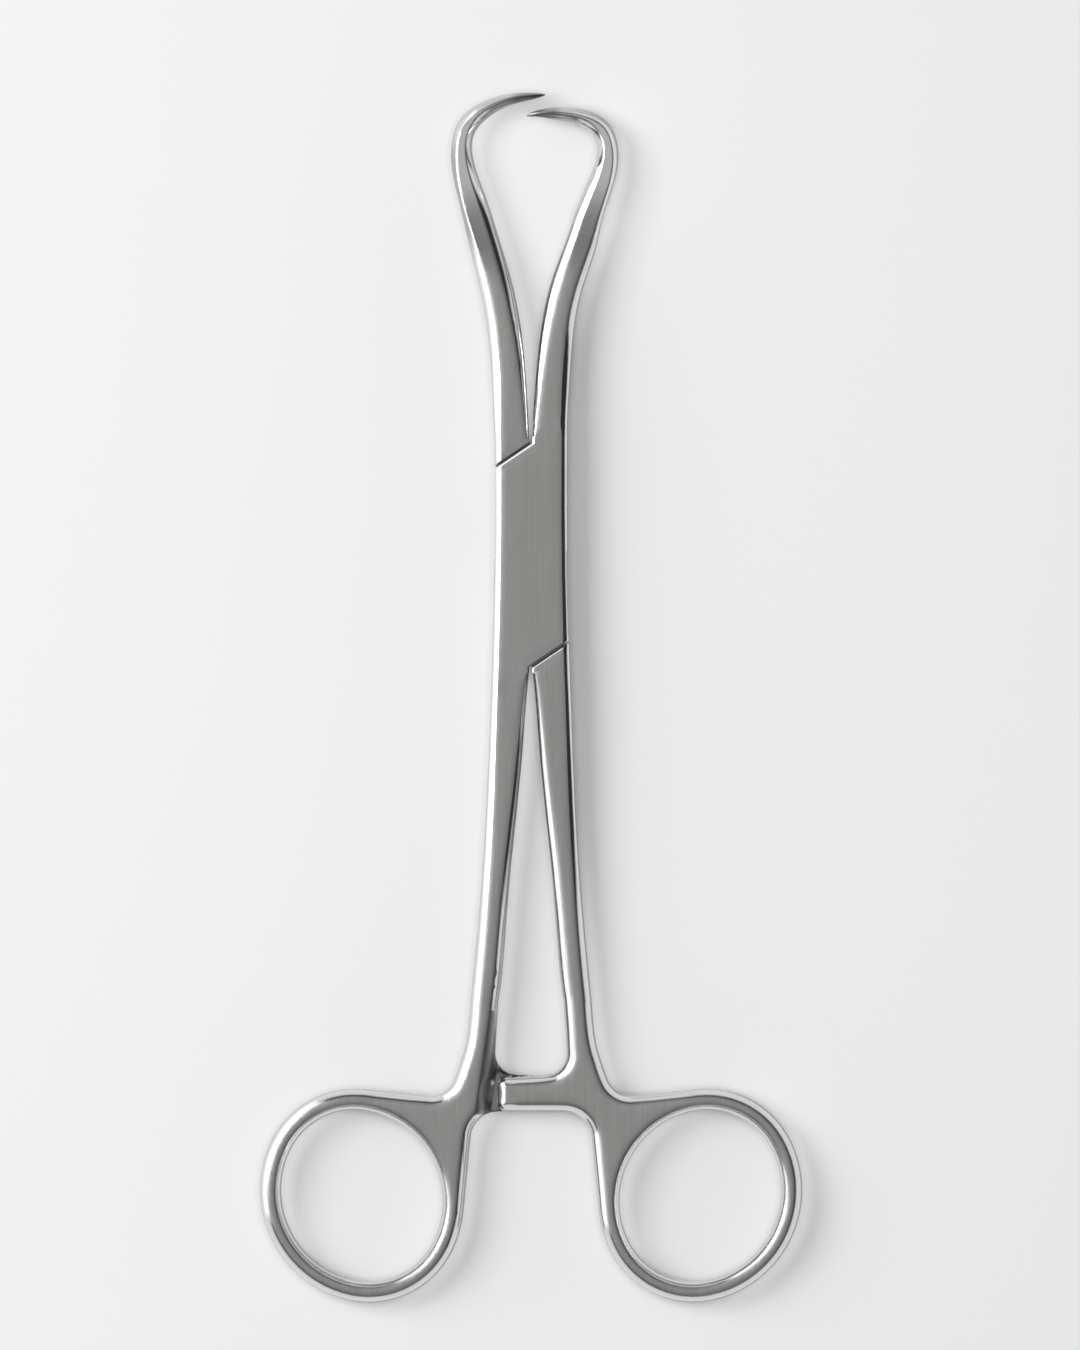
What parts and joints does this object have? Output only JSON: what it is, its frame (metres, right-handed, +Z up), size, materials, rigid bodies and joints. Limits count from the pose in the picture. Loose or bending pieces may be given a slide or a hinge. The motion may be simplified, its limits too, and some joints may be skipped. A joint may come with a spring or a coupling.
{
  "type": "locking grasping forceps",
  "caption": "Ratchet-locking forceps with finger rings, a slotted box lock and curved jaws whose needle hooks cross, for clamping drapes and tissue",
  "frame": {"origin": "on the pivot axis, in the plane of the box's underside, which the instrument lies on", "axes": "+Y along the instrument towards the jaws, +Z up along the pivot axis, +X towards the right jaw and the right ring as seen from above with the jaws away"},
  "size_m": [0.0716, 0.1597, 0.0054],
  "materials": {
    "box_half_steel": "satin",
    "tang_half_steel": "satin",
    "pin_steel": "satin"
  },
  "bodies": {
    "box_body": {"box_half": "box_half_steel", "pivot_pin": "pin_steel"},
    "tang_body": {"tang_half": "tang_half_steel"}
  },
  "joints": [
    {"name": "box_lock", "type": "hinge", "parent": "box_body", "child": "tang_body", "pos_m": [0, 0, 0.0027], "axis": [0, 0, 1], "range_deg": [0, 50]}
  ]
}
